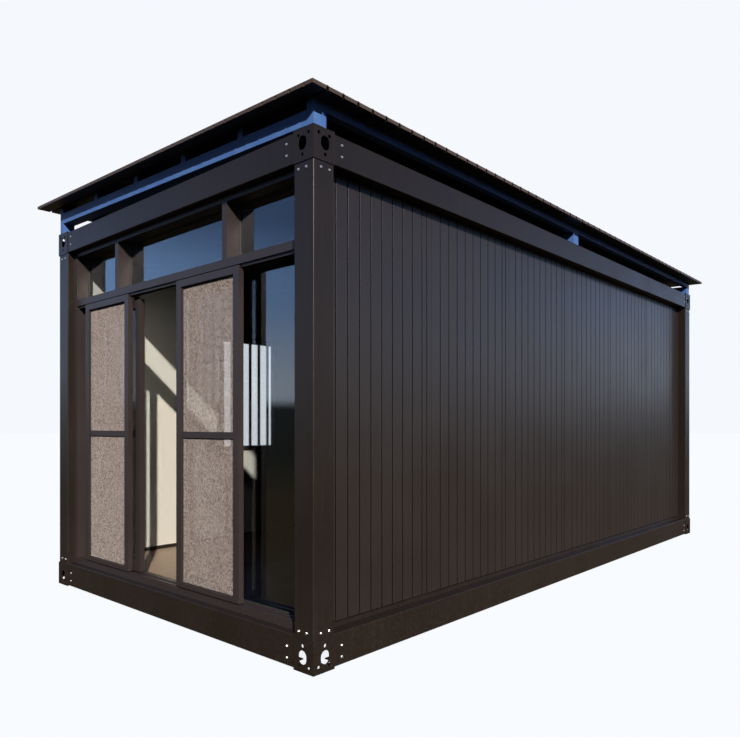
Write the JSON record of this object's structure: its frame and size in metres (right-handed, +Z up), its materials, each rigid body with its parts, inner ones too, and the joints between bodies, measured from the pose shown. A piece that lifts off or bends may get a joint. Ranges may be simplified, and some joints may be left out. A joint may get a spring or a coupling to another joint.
{
  "type": "shipping container cabin",
  "caption": "Flat-pack container cabin with ribbed walls, a glazed front with sliding glass doors and fly screens, and a low single-pitch roof on its own steel subframe.",
  "frame": {"origin": "centre of the steel frame's plan, on the ground", "axes": "+Z up, +X to the right seen from the glazed front, -Y out of the glazed front"},
  "size_m": [3.2545, 6.255, 3.0417],
  "materials": {
    "frame_steel": "satin",
    "wall_panel": "satin",
    "glazing_frame": "satin",
    "glass": "gloss",
    "fly_mesh": "matte",
    "roof_steel": "satin",
    "roof_sheet": "matte",
    "floor_board": "satin",
    "ceiling_board": "matte"
  },
  "bodies": {
    "cabin": {"base_front_beam": "frame_steel", "base_rear_beam": "frame_steel", "base_left_beam": "frame_steel", "base_right_beam": "frame_steel", "top_front_beam": "frame_steel", "top_rear_beam": "frame_steel", "top_left_beam": "frame_steel", "top_right_beam": "frame_steel", "front_left_post": "frame_steel", "front_right_post": "frame_steel", "rear_left_post": "frame_steel", "rear_right_post": "frame_steel", "base_corner_fittings": "frame_steel", "top_corner_fittings": "frame_steel", "floor_deck": "floor_board", "floor_joists": "frame_steel", "ceiling_panel": "ceiling_board", "right_wall": "wall_panel", "left_wall": "wall_panel", "rear_wall": "wall_panel", "wall_base_tracks": "frame_steel", "glazing_sill": "glazing_frame", "glazing_head": "glazing_frame", "glazing_jambs": "glazing_frame", "glazing_transom": "glazing_frame", "upper_mullions": "glazing_frame", "lower_mullions": "glazing_frame", "transom_glass": "glass", "fixed_glass": "glass", "side_window_frame": "glazing_frame", "side_window_glass": "glass", "roof_posts": "roof_steel", "roof_rafters": "roof_steel", "roof_purlins": "roof_steel", "roof_sheet": "roof_sheet", "roof_edge_trims": "roof_sheet"},
    "left_screen": {"left_screen_frame": "glazing_frame", "left_screen_mesh": "fly_mesh"},
    "right_screen": {"right_screen_frame": "glazing_frame", "right_screen_mesh": "fly_mesh"},
    "left_leaf": {"left_leaf_frame": "glazing_frame", "left_leaf_glass": "glass"},
    "right_leaf": {"right_leaf_frame": "glazing_frame", "right_leaf_glass": "glass"}
  },
  "joints": [
    {"name": "left_screen_slide", "type": "slide", "parent": "cabin", "child": "left_screen", "axis": [1, 0, 0], "range_m": [-0.14, 0.487]},
    {"name": "right_screen_slide", "type": "slide", "parent": "cabin", "child": "right_screen", "axis": [1, 0, 0], "range_m": [-0.131, 0.496]},
    {"name": "left_leaf_slide", "type": "slide", "parent": "cabin", "child": "left_leaf", "axis": [1, 0, 0], "range_m": [-0.233, 0.407]},
    {"name": "right_leaf_slide", "type": "slide", "parent": "cabin", "child": "right_leaf", "axis": [1, 0, 0], "range_m": [-0.072, 0.568]}
  ]
}
